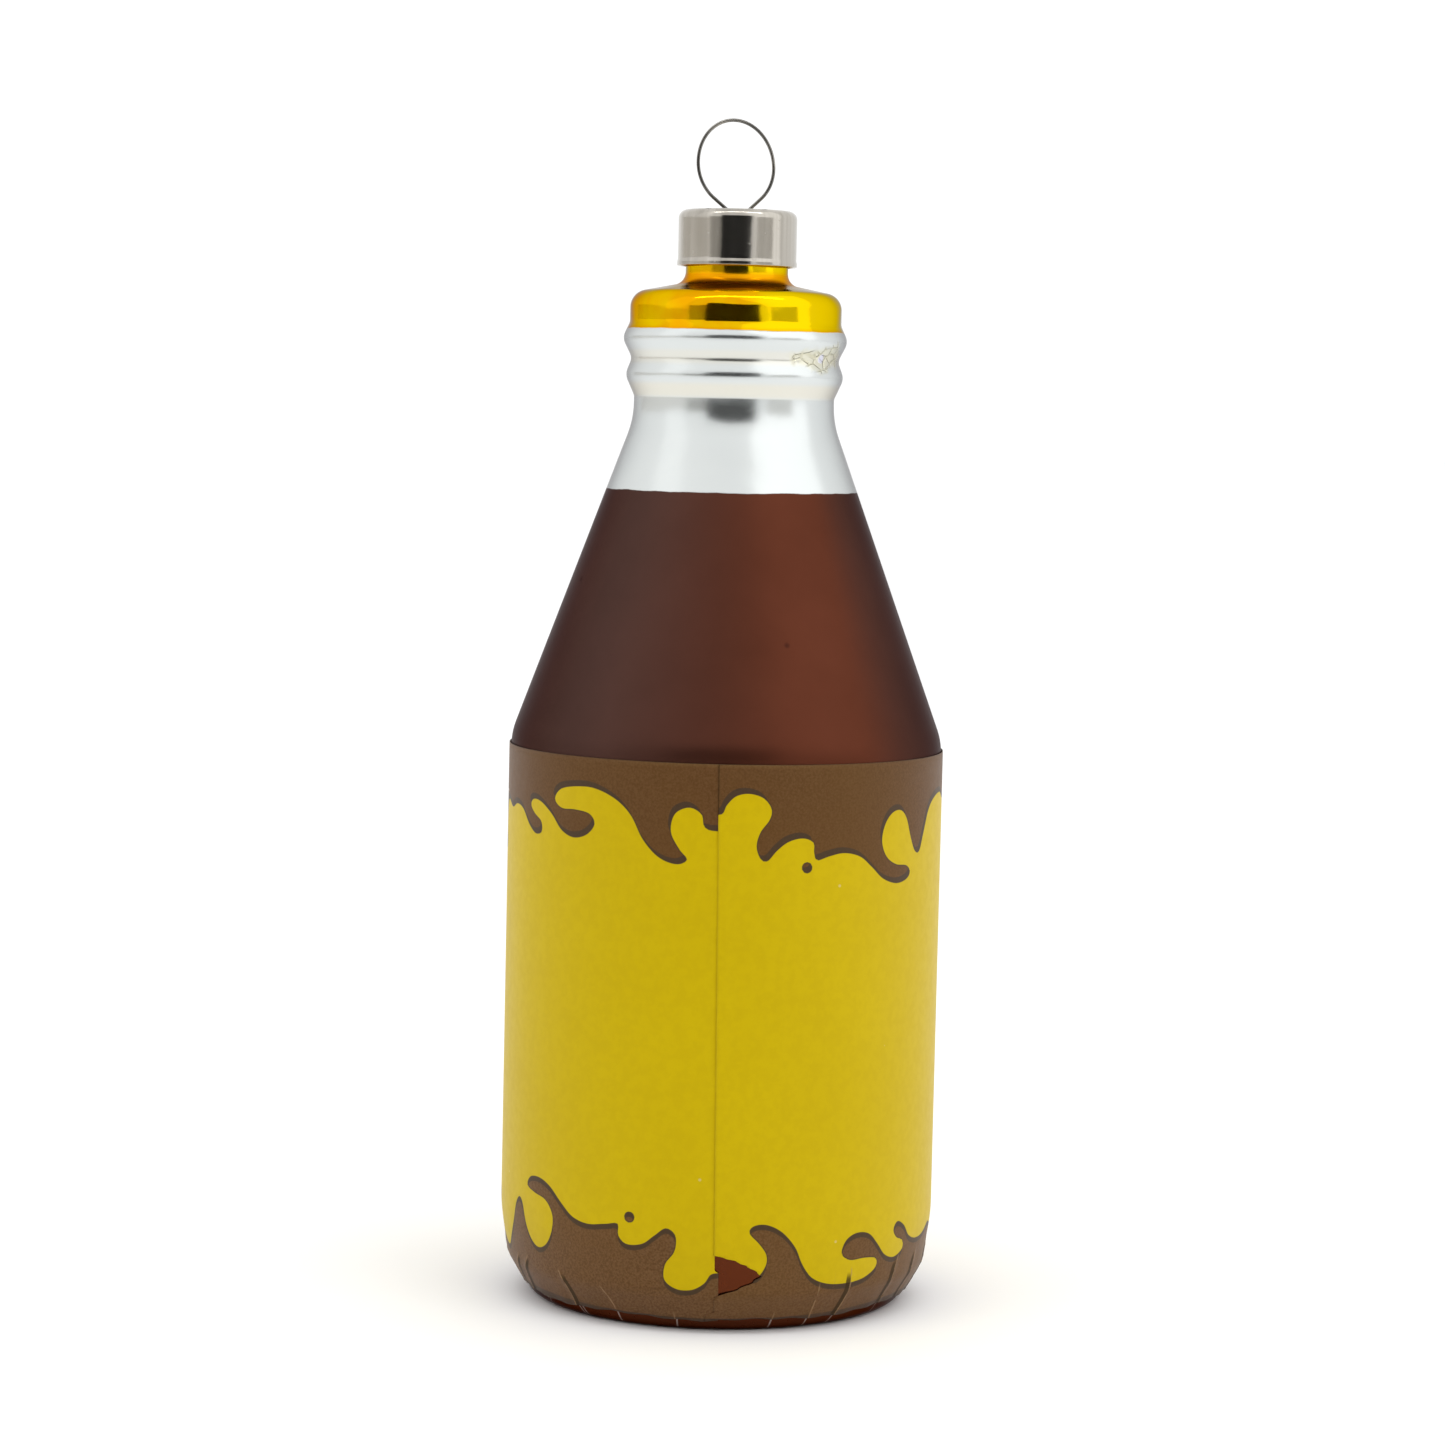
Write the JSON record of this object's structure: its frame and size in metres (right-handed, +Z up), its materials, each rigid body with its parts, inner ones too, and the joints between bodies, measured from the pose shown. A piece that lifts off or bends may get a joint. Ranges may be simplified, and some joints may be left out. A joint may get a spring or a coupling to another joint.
{
  "type": "glass bottle ornament",
  "caption": "Hanging blown-glass ornament shaped as a soda bottle, with a printed paper wrap, a plated cap and a wire loop.",
  "frame": {"origin": "centre of the standing ring, on the surface the bottle stands on", "axes": "+Z up along the bottle's axis to the hanging loop; -Y faces the label's seam; the loop lies in the XZ plane"},
  "size_m": [0.0506, 0.0508, 0.1376],
  "materials": {
    "coated_glass": "silvered inside; gloss gold coat on the crown, matte silver on the neck, matte brown below",
    "printed_paper": "matte printed adhesive paper, yellow field with brown drip borders",
    "plated_steel": "bright nickel plate with fine handling scratches",
    "spring_wire": "drawn spring wire, dull grey"
  },
  "bodies": {
    "bottle": {"glass_bottle": "coated_glass", "label_wrap": "printed_paper"},
    "cap": {"ornament_cap": "plated_steel"},
    "hanger": {"hanger_wire": "spring_wire"}
  },
  "joints": [
    {"name": "cap_lift", "type": "slide", "parent": "bottle", "child": "cap", "axis": [0, 0, 1], "range_m": [0, 0.02]},
    {"name": "hanger_turn", "type": "hinge", "parent": "cap", "child": "hanger", "pos_m": [0, 0, 0.127], "axis": [0, 0, 1], "continuous": true}
  ]
}
